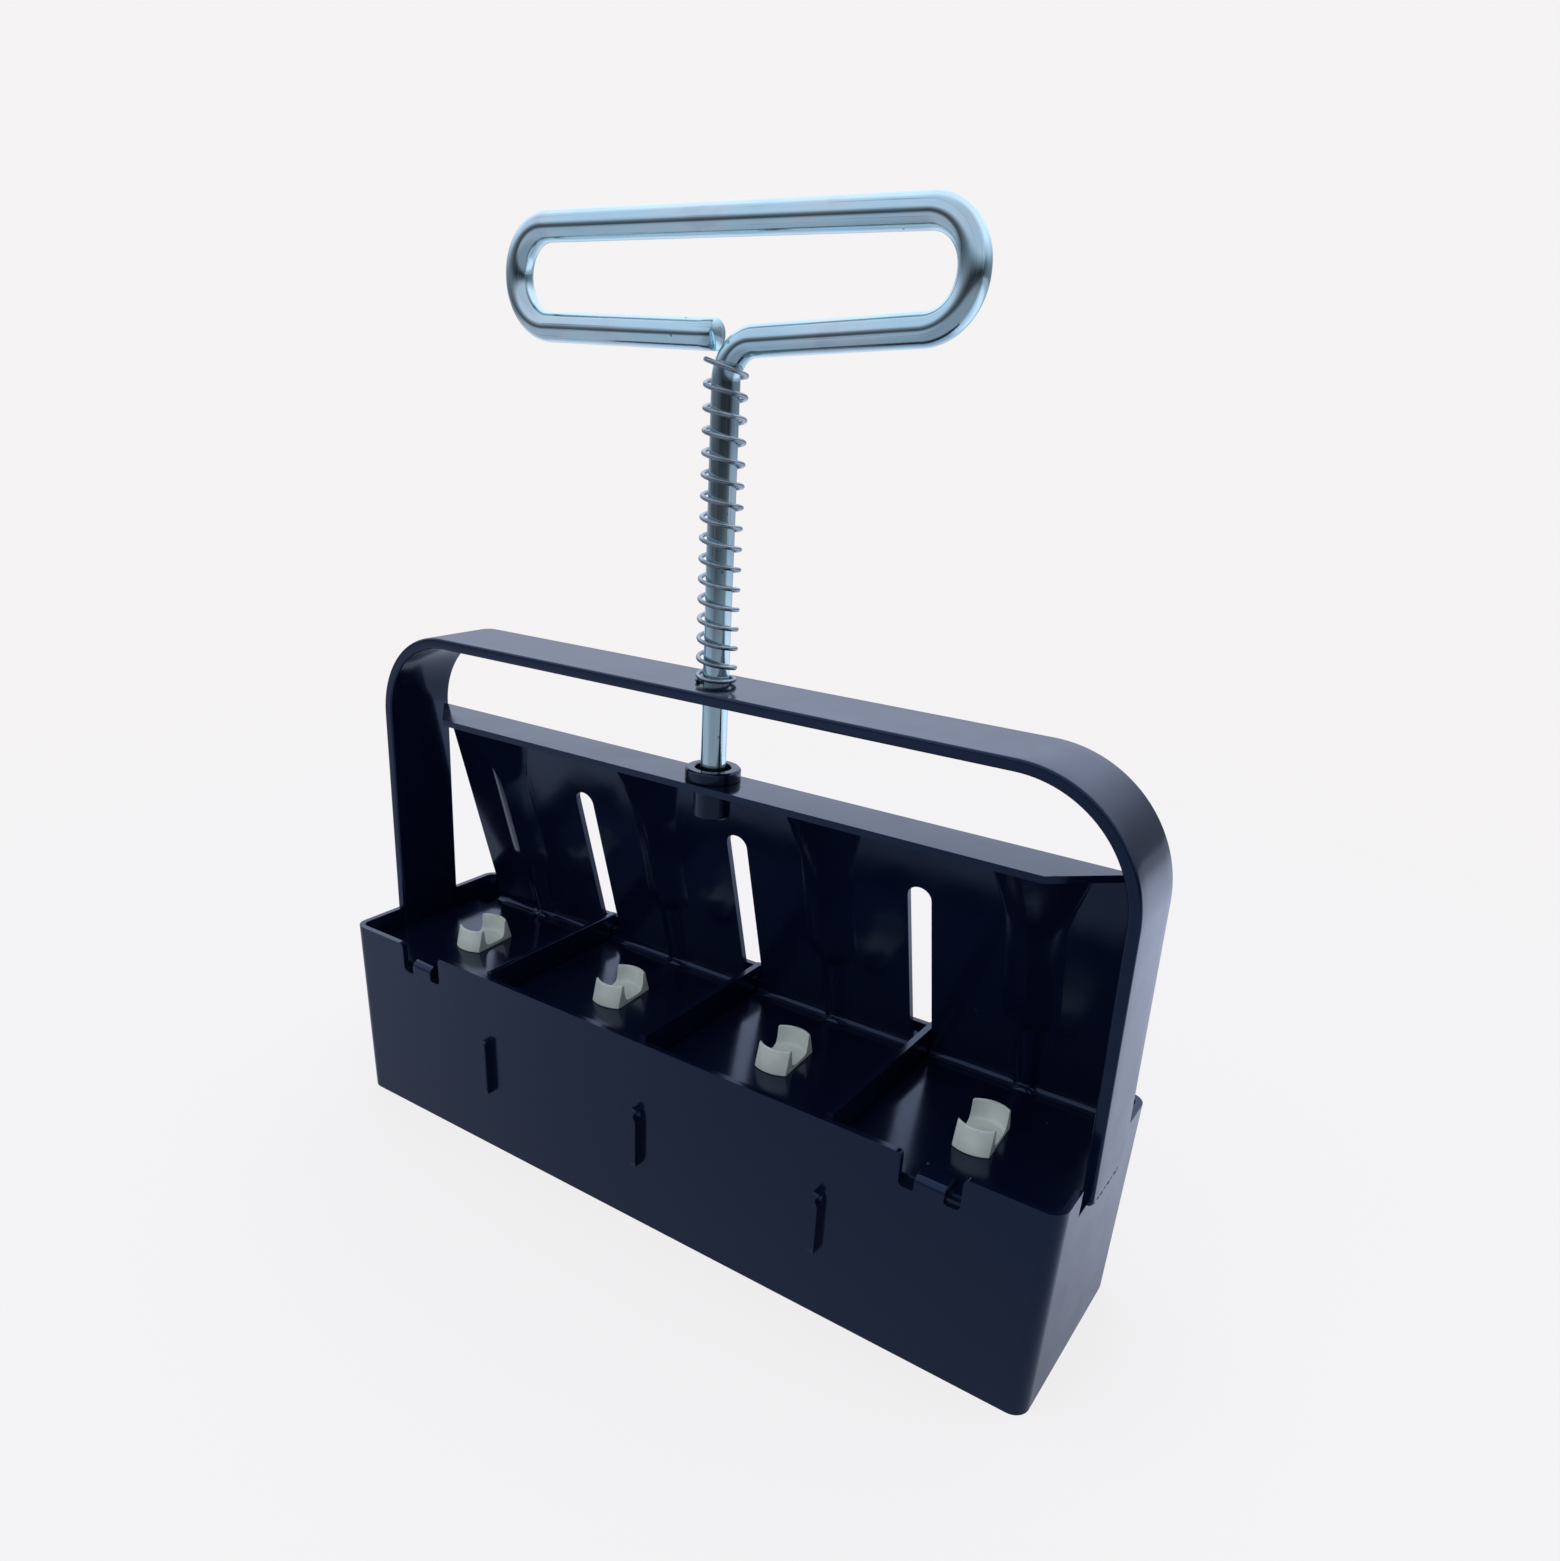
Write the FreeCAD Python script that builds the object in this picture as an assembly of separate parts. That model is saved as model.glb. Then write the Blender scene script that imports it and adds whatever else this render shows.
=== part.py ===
"""Soil blocker: a hand press that moulds four square blocks of potting soil and ejects them.

Millimetres.  X runs along the row of four cells, Y from the front wall to the rear wall, +Z up.
The origin is the middle of the open bottom of the mould box.
"""
import FreeCAD
import Part
import math
import os

V = FreeCAD.Vector

# ---------------------------------------------------------------- mould box
cell = 50.8            # clear inside of one square cell
cells = 4              # cells in a row
box_sheet = 1.6        # steel sheet of the box and of the dividers
box_height = 53.6
corner_inner = 2.2     # inside radius of the box corners

slot_low = 18.6        # divider slots in the front and rear walls
slot_high = 35.4
slot_width = 2.4

# stop tabs: bent inwards from the front wall, they hold the ejector down
tab_inset = 0.9        # each tab stands this much nearer the middle than its cell centre
tab_width = 7.0
tab_sink = 4.2         # top of the stop tabs below the box rim
tab_reach = 4.6        # flat length past the bend
tab_bend = 0.4         # inside radius of the tab bend
notch_width = 14.2     # opening in the wall above each tab
relief_depth = 2.4     # relief cuts beside the tab, below its underside
notch_round = 1.3      # rounded upper corners of the notch

# ---------------------------------------------------------------- dividers
divider_rise = 1.2     # divider top above the box rim
tab_proud = 2.2        # divider tabs stand out of the wall
tab_slack = 0.2        # divider tab to slot end

# ---------------------------------------------------------------- arch
arch_top = 135.6       # outside height of the arch
arch_width = 20.6
arch_thick = 2.7
arch_round_left = 24.5  # outside radii of the two upper corners
arch_round_right = 28.5
arch_edge = 0.6        # rounded long edges
foot_proud = 1.2       # foot of the arch stands out past the end wall
leg_splay = 3.2        # each leg is this much further in at the top than at its foot
foot_seat = 6.6        # depth of the end-wall notch that the foot sits in
seat_clear = 0.3       # notch to the foot, front and rear
seat_gap = 5.0         # open notch in front of the right foot
weld_leg = 1.3         # height of the weld bead under the foot

# ---------------------------------------------------------------- ejector
ejector_sheet = 1.6
foot_gap = 0.5         # ejector foot to a divider or to the long walls
end_gap = 0.6          # ejector foot to an end wall
stop_gap = 0.3         # ejector foot under the stop tabs at rest
foot_corner = 2.4      # rounded corners of the row of feet
flange_rise = 65.8     # top of the flange above the top of the feet
flange_front = 7.5     # front edge of the flange before the rod axis
flange_back = 7.6      # rear edge of the flange behind the rod axis
flange_half = 97.9     # half length of the flange at its rear edge
flange_cut = 13.6      # how far each slanted end comes in at the front edge
web_bend = 3.2         # outside radius between flange and web
heel_bend = 3.6        # outside radius between web and feet
heel_gap = 0.9         # rear of the bend to the rear wall
heel_step = 17.0       # the feet are full width in front of this depth
web_slot_width = 6.0
web_slot_foot = 3.75    # lower end of the slots above the top of the feet
web_slot_lean = 1.6    # outer slots sit this much nearer the middle than the dividers
web_slot_rise = 49.0   # top of the slots above the top of the feet
rib_half = 7.0         # pressed ribs: half width, height of the crest before the web
rib_crest = 3.5
rib_low = 19.0         # lower tip of the ribs above the top of the feet
rib_taper = 4.4        # length of the sloping lower end
rib_turn = 49.5        # above this the crest leans forward, up to the flange
rib_lean = 0.78        # forward run of the leaning crest for each millimetre of height
rib_spread = 17.0      # half width of the rib where it meets the flange

# ---------------------------------------------------------------- rod and hub
rod_diameter = 6.0
rod_clearance = 0.08   # rod to the arch hole, on the radius
hub_diameter = 13.2
hub_thick = 2.8
hub_chamfer = 0.5
shank_diameter = 8.8
shank_length = 9.2     # hub shank below the top of the flange
hub_mouth = 8.4        # wider mouth of the hub bore
hub_mouth_deep = 2.0

# ---------------------------------------------------------------- grip
grip_low = 203.9       # rod centre where the lower right bar would meet the shaft
grip_low_right = 206.7 # the lower bars rise a little towards the ends
grip_low_left = 206.9
grip_top_left = 225.7  # rod centre of the upper bar, which falls a little to the right
grip_top_right = 224.4
grip_right = 52.0      # rod centre of the right end
grip_left = 57.0       # rod centre of the left end
grip_round_right = 9.0  # bend radii at the ends, on the rod centre
grip_round_left = 9.3
shaft_bend = 7.5       # bend radius from the shaft into the lower right bar
free_end_gap = 2.4     # cut end of the loop before the shaft axis
free_end_z = 205.3

# ---------------------------------------------------------------- spring
wire = 1.0
coil_clearance = 0.7   # coil to rod, on the radius
spring_top = 198.8     # centre of the uppermost turn
spring_turns = 14.5    # working turns
closed_low = 1.0       # closed turns at the bottom and at the top
closed_top = 0.5
spring_start = 215.0   # where the wire starts on the arch, degrees from +X
top_tilt = 2.0         # the top turn rises this much towards its free end, away from the bend of the rod

# ---------------------------------------------------------------- seed pins
pin_y = -2.6           # pins stand in the middle of the flat part of the feet
pin_turn = 3.5         # each pin is turned a little in its hole, degrees
pin_hole = 8.8         # hole in each foot
pin_fit = 0.1          # neck to hole, on the radius
pin_barb = 16.2        # widest diameter of the split head
pin_top = 13.2         # diameter of the split head at its top
pin_head = 6.0         # height of the split head above the foot
pin_land = 0.4         # straight part of the head at its widest
pin_wall = 0.6         # thickness of the walls at their top
pin_bowl = ((0.0, 1.0), (4.7, 1.0), (5.6, 1.9))   # hollow of the head: radius, height above the foot
pin_flats = 8.6        # width of the split head across its two flats
pin_flange = 18.0
pin_flange_thick = 1.2
dibble_top = 12.0
dibble_tip = 8.0
dibble_length = 11.0
dibble_round = 3.0

# ---------------------------------------------------------------- worked out
inside_x = cells * cell + (cells - 1) * box_sheet
inside_y = cell
half_in_x = inside_x / 2
half_in_y = inside_y / 2
half_x = half_in_x + box_sheet
half_y = half_in_y + box_sheet
pitch = cell + box_sheet
cell_x = [(i - (cells - 1) / 2) * pitch for i in range(cells)]
divider_x = [(i - (cells - 2) / 2) * pitch for i in range(cells - 1)]
tab_under = box_height - box_sheet - tab_sink      # underside of the stop tabs
foot_top = tab_under - stop_gap
foot_under = foot_top - ejector_sheet
flange_top = foot_top + flange_rise
flange_under = flange_top - ejector_sheet
rod = rod_diameter / 2
coil = rod + coil_clearance + wire / 2
hub_top = flange_top + hub_thick
rod_end = flange_top - shank_length + 0.4
seat_z = box_height - foot_seat


def box(x0, x1, y0, y1, z0, z1):
    return Part.makeBox(x1 - x0, y1 - y0, z1 - z0, V(x0, y0, z0))


def cyl(r, z0, z1, x=0.0, y=0.0):
    return Part.makeCylinder(r, z1 - z0, V(x, y, z0), V(0, 0, 1))


def round_box(hx, hy, r, z0, z1):
    """Upright rounded rectangle of half sizes hx and hy."""
    s = box(-hx, hx, -hy, hy, z0, z1)
    edges = [e for e in s.Edges if abs(e.Vertexes[0].X - e.Vertexes[1].X) < 1e-6
             and abs(e.Vertexes[0].Y - e.Vertexes[1].Y) < 1e-6]
    return s.makeFillet(r, edges)


def bend_points(pts, radii):
    """Edges of an open path through pts, with a tangent arc of the given radius at each inner point."""
    edges = []
    last = pts[0]
    for i in range(1, len(pts) - 1):
        a, p, b = pts[i - 1], pts[i], pts[i + 1]
        u = (a - p).normalize()
        w = (b - p).normalize()
        half = u.getAngle(w) / 2
        run = radii[i - 1] / math.tan(half)
        centre = p + (u + w).normalize() * (radii[i - 1] / math.sin(half))
        t0 = p + u * run
        t1 = p + w * run
        mid = centre + (p - centre).normalize() * radii[i - 1]
        if (t0 - last).Length > 1e-6:
            edges.append(Part.LineSegment(last, t0).toShape())
        edges.append(Part.Arc(t0, mid, t1).toShape())
        last = t1
    edges.append(Part.LineSegment(last, pts[-1]).toShape())
    return edges


def offset_path(pts, n, t):
    """Move each run of an open path sideways by t, towards the run's direction crossed with n."""
    dirs = [(pts[i + 1] - pts[i]).normalize() for i in range(len(pts) - 1)]
    side = [d.cross(n).normalize() for d in dirs]
    out = [pts[0] + side[0] * t]
    for i in range(1, len(pts) - 1):
        k = (side[i - 1] + side[i]).normalize()
        out.append(pts[i] + k * (t / k.dot(side[i])))
    out.append(pts[-1] + side[-1] * t)
    return out


def strip(pts, radii_a, normal, t, radii_b):
    """Face of a bent sheet seen on edge: path pts on one side, and its twin t away on the other."""
    other = offset_path(pts, normal, t)
    side_a = bend_points(pts, radii_a)
    side_b = bend_points(other, radii_b)
    caps = [Part.LineSegment(pts[0], other[0]).toShape(), Part.LineSegment(pts[-1], other[-1]).toShape()]
    wire_ = Part.Wire(Part.__sortEdges__(side_a + side_b + caps))
    return Part.Face(wire_)


def save(shape, node):
    shape = shape.removeSplitter()
    if not shape.isValid():
        raise RuntimeError(node + " is not a valid solid")
    shape.exportStep("parts/" + node + ".step")
    b = shape.BoundBox
    print("%-16s solids %d  volume %9.1f  x %.1f %.1f  y %.1f %.1f  z %.1f %.1f" % (
        node, len(shape.Solids), shape.Volume, b.XMin, b.XMax, b.YMin, b.YMax, b.ZMin, b.ZMax))


def make_mould_box():
    s = round_box(half_x, half_y, corner_inner + box_sheet, 0, box_height)
    s = s.cut(round_box(half_in_x, half_in_y, corner_inner, -1, box_height + 1))
    for x in divider_x:
        s = s.cut(box(x - slot_width / 2, x + slot_width / 2, -half_y - 1, half_y + 1, slot_low, slot_high))
    # notch in each end wall for the foot of the arch; the right one is open in front of the foot
    side_y = arch_width / 2 + seat_clear
    s = s.cut(box(-half_x - 1, -half_in_x + 1, -side_y, side_y, seat_z, box_height + 1))
    s = s.cut(box(half_in_x - 1, half_x + 1, -side_y - seat_gap, side_y, seat_z, box_height + 1))
    # stop tabs at the two end cells
    for x in (cell_x[0] + tab_inset, cell_x[-1] - tab_inset):
        bend_z = tab_under - tab_bend
        opening = box(x - notch_width / 2, x + notch_width / 2, -half_y - 1, -half_in_y + 1,
                      bend_z, box_height + 1)
        for side in (-1, 1):
            x0 = x + side * tab_width / 2
            x1 = x + side * notch_width / 2
            opening = opening.fuse(box(min(x0, x1), max(x0, x1), -half_y - 1, -half_in_y + 1,
                                       tab_under - relief_depth, box_height))
        s = s.cut(opening)
        for side in (-1, 1):
            cx = x + side * notch_width / 2
            square = box(min(cx, cx + side * notch_round), max(cx, cx + side * notch_round),
                         -half_y - 1, -half_in_y + 1, box_height - notch_round, box_height + 1)
            tool = Part.makeCylinder(notch_round, box_sheet + 2,
                                     V(cx + side * notch_round, -half_y - 1, box_height - notch_round),
                                     V(0, 1, 0))
            s = s.cut(square.cut(tool))
        # the tab: up the wall, round the bend, and flat towards the inside of the cell
        y0 = -half_in_y
        path = [V(x - tab_width / 2, y0, bend_z - 0.5), V(x - tab_width / 2, y0, tab_under),
                V(x - tab_width / 2, y0 + tab_bend + tab_reach, tab_under)]
        face = strip(path, [tab_bend], V(-1, 0, 0), box_sheet, [tab_bend + box_sheet])
        s = s.fuse(face.extrude(V(tab_width, 0, 0)))
    return s


def make_divider(x):
    t = box_sheet / 2
    s = box(x - t, x + t, -half_in_y, half_in_y, 0, box_height + divider_rise)
    tab = box(x - t, x + t, -half_y - tab_proud, half_y + tab_proud, slot_low, slot_high - tab_slack)
    return s.fuse(tab)


def make_arch():
    foot_x = half_x + foot_proud
    top_x = foot_x - leg_splay
    path = [V(-foot_x, -arch_width / 2, seat_z), V(-top_x, -arch_width / 2, arch_top),
            V(top_x, -arch_width / 2, arch_top), V(foot_x, -arch_width / 2, seat_z)]
    # feet are cut level, so the path starts a little lower and is trimmed
    for i, j in ((0, 1), (3, 2)):
        path[i] = path[i] + (path[i] - path[j]).normalize() * 2
    radii = [arch_round_left, arch_round_right]
    face = strip(path, radii, V(0, -1, 0), arch_thick, [r - arch_thick for r in radii])
    s = face.extrude(V(0, arch_width, 0))
    long_edges = []
    for e in s.Edges:
        b = e.BoundBox
        if b.YLength < 1e-6 and e.Length > arch_thick * 1.5:
            long_edges.append(e)
    s = s.makeFillet(arch_edge, long_edges)
    s = s.cut(box(-foot_x - 9, foot_x + 9, -arch_width, arch_width, 0, seat_z))
    return s.cut(cyl(rod + rod_clearance, arch_top - arch_thick - 2, arch_top + 2))


def make_weld(side):
    """Bead in the corner between the end wall and the level underside of the arch foot."""
    w = arch_width / 2 - arch_edge
    a = V(side * half_x, -w, seat_z)
    b = V(side * (half_x + foot_proud - 0.1), -w, seat_z)
    c = V(side * half_x, -w, seat_z - weld_leg)
    m = V(side * (half_x + foot_proud * 0.62), -w, seat_z - weld_leg * 0.62)
    wire_ = Part.Wire([Part.LineSegment(a, b).toShape(), Part.Arc(b, m, c).toShape(),
                       Part.LineSegment(c, a).toShape()])
    return Part.Face(wire_).extrude(V(0, 2 * w, 0))


def make_ejector():
    # seen from the end: flange, sloping web and foot, with the path on the outer side
    heel_y = half_in_y - heel_gap
    y_top, z_top = flange_back, flange_top
    z_low = foot_under
    # slope of the web, so that the heel bend just reaches heel_y
    lean = 0.0
    for _ in range(40):
        half = (math.pi / 2 - lean) / 2
        centre_y = heel_y - heel_bend
        centre_z = z_low + heel_bend
        # rear face of the web is tangent to the heel circle and passes through the top corner
        dy, dz = centre_y - y_top, centre_z - z_top
        d = math.hypot(dy, dz)
        lean = math.asin(heel_bend / d) + math.atan2(dy, -dz)
    y_low = y_top + math.tan(lean) * (z_top - z_low)
    x0 = -half_in_x + end_gap
    path = [V(x0, -flange_front, z_top), V(x0, y_top, z_top), V(x0, y_low, z_low),
            V(x0, -half_in_y + foot_gap, z_low)]
    face = strip(path, [web_bend, heel_bend], V(1, 0, 0), ejector_sheet,
                 [web_bend - ejector_sheet, heel_bend - ejector_sheet])
    s = face.extrude(V(-2 * x0, 0, 0))

    def front_y(z):
        return y_top + math.tan(lean) * (z_top - z) - ejector_sheet / math.cos(lean)

    # pressed ribs at the middle of each cell: proud in front, hollow behind
    out = V(0, math.cos(lean), math.sin(lean))
    root = 0.4

    def before_web(x, z, h):
        """Point h in front of the web's front face."""
        return V(x, front_y(z), z) - out * h

    def ridge(x):
        low = foot_top + rib_low
        turn = foot_top + rib_turn
        high = flange_under + ejector_sheet / 2
        tip = before_web(x, low, -root)
        rows = ((low + rib_taper, rib_half), (turn, rib_half), (high, rib_spread))
        base = [[before_web(x + k * half, z, -root) for z, half in rows] for k in (-1, 1)]
        foot = before_web(x, low + rib_taper, rib_crest)
        bend = before_web(x, turn, rib_crest)
        head = V(x, bend.y - rib_lean * (base[0][2].z - bend.z), base[0][2].z)
        (a0, a1, a2), (b0, b1, b2) = base
        sides = [(tip, foot, a0), (tip, b0, foot), (a0, foot, bend, a1), (b0, b1, bend, foot), (a1, bend, head),
                 (a1, head, a2), (b1, head, bend), (b1, b2, head), (a2, head, b2), (tip, a0, a1, a2, b2, b1, b0)]
        shell = Part.Shell([Part.Face(Part.makePolygon(list(side) + [side[0]])) for side in sides])
        solid = Part.Solid(shell)
        if solid.Volume < 0:
            solid.reverse()
        return solid

    for x in cell_x:
        s = s.fuse(ridge(x))
        hollow = ridge(x)
        hollow.translate(out * ejector_sheet)
        below_bend = box(x - 20, x + 20, -half_in_y, half_in_y, foot_top + 8, flange_top - web_bend - 0.6)
        s = s.cut(hollow.common(below_bend))

    # slanted ends of the flange, and web narrower than the row of feet
    for side in (-1, 1):
        def corner(x, y, z):
            return V(side * x, y, z)
        big = half_in_x + 5
        s = s.cut(Part.makeBox(big - flange_half, 60, flange_rise + 20,
                               V(min(side * flange_half, side * big), heel_step, foot_under - 1)))
        s = s.cut(Part.makeBox(big - flange_half, 90, flange_rise + 20,
                               V(min(side * flange_half, side * big), -45, foot_top + 0.01)))
        tri = Part.makePolygon([corner(flange_half - flange_cut, -flange_front - 0.01, flange_under - 5),
                                corner(flange_half + 0.01, flange_back - web_bend, flange_under - 5),
                                corner(flange_half + 9, -flange_front - 9, flange_under - 5),
                                corner(flange_half - flange_cut, -flange_front - 9, flange_under - 5),
                                corner(flange_half - flange_cut, -flange_front - 0.01, flange_under - 5)])
        s = s.cut(Part.Face(tri).extrude(V(0, 0, 12)))

    # slots in the web over the dividers, and gaps between the feet
    slot_top = foot_top + web_slot_rise
    r = web_slot_width / 2
    for x in divider_x:
        gap = box_sheet / 2 + foot_gap
        s = s.cut(box(x - gap, x + gap, -half_y, half_y, foot_under - 1, foot_top + web_slot_foot + 0.1))
        near = x - math.copysign(web_slot_lean, x) if abs(x) > 1 else x
        s = s.cut(box(near - r, near + r, 0, half_y, foot_top + web_slot_foot, slot_top - r))
        s = s.cut(Part.makeCylinder(r, half_y, V(near, 0, slot_top - r), V(0, 1, 0)))
    # rounded front corners of the row of feet
    for side in (-1, 1):
        cx = side * (half_in_x - end_gap)
        cy = -half_in_y + foot_gap
        square = box(min(cx, cx - side * foot_corner), max(cx, cx - side * foot_corner),
                     cy - 0.01, cy + foot_corner, foot_under - 1, foot_top + 1)
        s = s.cut(square.cut(cyl(foot_corner, foot_under - 2, foot_top + 2,
                                 cx - side * foot_corner, cy + foot_corner)))
    # holes for the seed pins and for the hub
    for x in cell_x:
        s = s.cut(cyl(pin_hole / 2, foot_under - 1, foot_top + 1, x, pin_y))
    return s.cut(cyl(shank_diameter / 2, flange_under - 1, flange_top + 1))


def make_hub():
    s = cyl(hub_diameter / 2, flange_top, hub_top)
    rim = [e for e in s.Edges if abs(e.BoundBox.ZMin - hub_top) < 1e-6 and abs(e.BoundBox.ZMax - hub_top) < 1e-6]
    s = s.makeChamfer(hub_chamfer, rim)
    s = s.fuse(cyl(shank_diameter / 2, flange_top - shank_length, flange_top))
    s = s.cut(cyl(rod, flange_top - shank_length - 1, hub_top + 1))
    return s.cut(cyl(hub_mouth / 2, hub_top - hub_mouth_deep, hub_top + 1))


def make_rod_handle():
    pts = [V(0, 0, rod_end), V(0, 0, grip_low), V(grip_right, 0, grip_low_right),
           V(grip_right, 0, grip_top_right), V(-grip_left, 0, grip_top_left), V(-grip_left, 0, grip_low_left),
           V(-free_end_gap, 0, free_end_z)]
    edges = bend_points(pts, [shaft_bend] + [grip_round_right] * 2 + [grip_round_left] * 2)
    path = Part.Wire(edges)
    section = Part.Wire([Part.Circle(pts[0], V(0, 0, 1), rod).toShape()])
    return path.makePipeShell([section], True, False)


def make_spring():
    """Left-hand coil of round wire; the end turns are closed, the working turns have an even pitch."""
    low = arch_top + wire / 2
    turns = spring_turns + closed_low + closed_top
    closed = wire * 1.06
    per_turn = 12
    n = int(turns * per_turn)
    pts = []
    rise_mid = (spring_top - low - (closed_low + closed_top) * closed) / spring_turns
    for i in range(n + 1):
        k = turns * i / n
        if k < closed_low:
            z = low + closed * k
        elif k > turns - closed_top:
            z = spring_top - closed * (turns - k)
        else:
            z = low + closed * closed_low + rise_mid * (k - closed_low)
        turned = -2 * math.pi * k
        a = turned + math.radians(spring_start)
        near = min(1.0, max(0.0, (k - turns + 1.25) / 1.25))
        z += top_tilt * near * near * (3 - 2 * near) * (1 + math.cos(turned)) / 2
        pts.append(V(coil * math.cos(a), coil * math.sin(a), z))
    curve = Part.BSplineCurve()
    curve.interpolate(pts)
    path = Part.Wire([curve.toShape()])
    tangent = curve.tangent(curve.FirstParameter)[0]
    section = Part.Wire([Part.Circle(pts[0], tangent, wire / 2).toShape()])
    return path.makePipeShell([section], True, True)


def make_seed_pin(x):
    """Snap-in pin: dibble and flange under the foot; the head above it is a bowl cut away at two sides."""
    z = foot_top
    u = foot_under
    neck = pin_hole / 2 - pin_fit
    outline = [V(0, 0, u - pin_flange_thick - dibble_length), V(dibble_tip / 2 - dibble_round * 0.5, 0,
               u - pin_flange_thick - dibble_length),
               V(dibble_tip / 2 + 0.2, 0, u - pin_flange_thick - dibble_length + dibble_round * 0.7),
               V(dibble_top / 2, 0, u - pin_flange_thick), V(pin_flange / 2, 0, u - pin_flange_thick),
               V(pin_flange / 2, 0, u), V(neck, 0, u), V(neck, 0, z), V(pin_barb / 2, 0, z),
               V(pin_barb / 2, 0, z + pin_land), V(pin_top / 2, 0, z + pin_head),
               V(pin_top / 2 - pin_wall, 0, z + pin_head)]
    outline += [V(r, 0, z + h) for r, h in reversed(pin_bowl)] + [outline[0]]
    s = Part.Face(Part.makePolygon(outline)).revolve(V(0, 0, 0), V(0, 0, 1), 360)
    s = Part.Solid(s.Shells[0]) if not s.Solids else s.Solids[0]
    for side in (-1, 1):
        x0 = side * pin_flats / 2
        x1 = side * pin_barb
        s = s.cut(box(min(x0, x1), max(x0, x1), -pin_barb, pin_barb, z, z + pin_head + 1))
    s.rotate(V(0, 0, 0), V(0, 0, 1), pin_turn)
    s.translate(V(x, pin_y, 0))
    return s


os.makedirs("parts", exist_ok=True)
save(make_mould_box(), "mould_box")
for i, x in enumerate(divider_x):
    save(make_divider(x), "divider_%d" % (i + 1))
save(make_arch(), "arch_bar")
save(make_weld(-1), "weld_bead_left")
save(make_weld(1), "weld_bead_right")
save(make_ejector(), "ejector")
save(make_hub(), "hub")
save(make_rod_handle(), "rod_handle")
save(make_spring(), "spring")
for i, x in enumerate(cell_x):
    save(make_seed_pin(x), "seed_pin_%d" % (i + 1))
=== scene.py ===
"""Looks of the soil blocker: a coated sheet-steel mould box with its dividers, the arched bar, the pressed
ejector with its hub and nylon seed pins, the zinc-plated rod with its loop grip, and the spring.

Sizes are written in millimetres and turned to metres when a mesh is made.  X runs along the row of cells,
Y from the front wall to the rear wall, Z up from the open bottom of the box.
"""

import math

import bpy
import bmesh
import numpy as np
from mathutils import Matrix, Vector
from mathutils.geometry import delaunay_2d_cdt


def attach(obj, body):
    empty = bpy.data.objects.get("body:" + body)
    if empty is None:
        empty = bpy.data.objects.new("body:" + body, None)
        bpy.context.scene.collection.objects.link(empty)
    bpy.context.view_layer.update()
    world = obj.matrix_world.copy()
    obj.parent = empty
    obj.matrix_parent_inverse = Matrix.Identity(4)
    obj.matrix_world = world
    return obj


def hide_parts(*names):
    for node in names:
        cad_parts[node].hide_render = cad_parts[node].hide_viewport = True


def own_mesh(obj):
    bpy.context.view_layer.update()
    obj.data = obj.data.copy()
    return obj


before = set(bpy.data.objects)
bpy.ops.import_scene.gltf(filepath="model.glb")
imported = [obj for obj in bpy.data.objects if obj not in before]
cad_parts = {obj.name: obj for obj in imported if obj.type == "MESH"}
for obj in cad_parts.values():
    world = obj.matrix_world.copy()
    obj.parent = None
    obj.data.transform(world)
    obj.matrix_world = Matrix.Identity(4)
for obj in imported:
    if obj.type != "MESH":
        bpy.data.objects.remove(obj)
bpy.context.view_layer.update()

MM = 0.001

# ---------------------------------------------------------------- sizes, as in the construction
SHEET = 1.6
HALF_X, HALF_Y = 105.6, 27.0           # outside of the mould box
BOX_TOP = 53.6
BOX_CORNER = 3.8                       # outside radius of the box corners
CELLS = (-78.6, -26.2, 26.2, 78.6)
DIVIDERS = (-52.4, 0.0, 52.4)
SLOT_LOW, SLOT_HIGH, SLOT_HALF = 18.6, 35.4, 1.2
SEAT = 47.0                            # level of the arch feet
FOOT_TOP, FOOT_UNDER = 47.5, 45.9      # row of feet of the ejector
FLANGE_TOP = 113.3
ARCH_TOP = 135.6
PIN_Y, PIN_TURN = -2.6, 3.5            # place of the seed pins on the feet, and their turn in degrees


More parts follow.
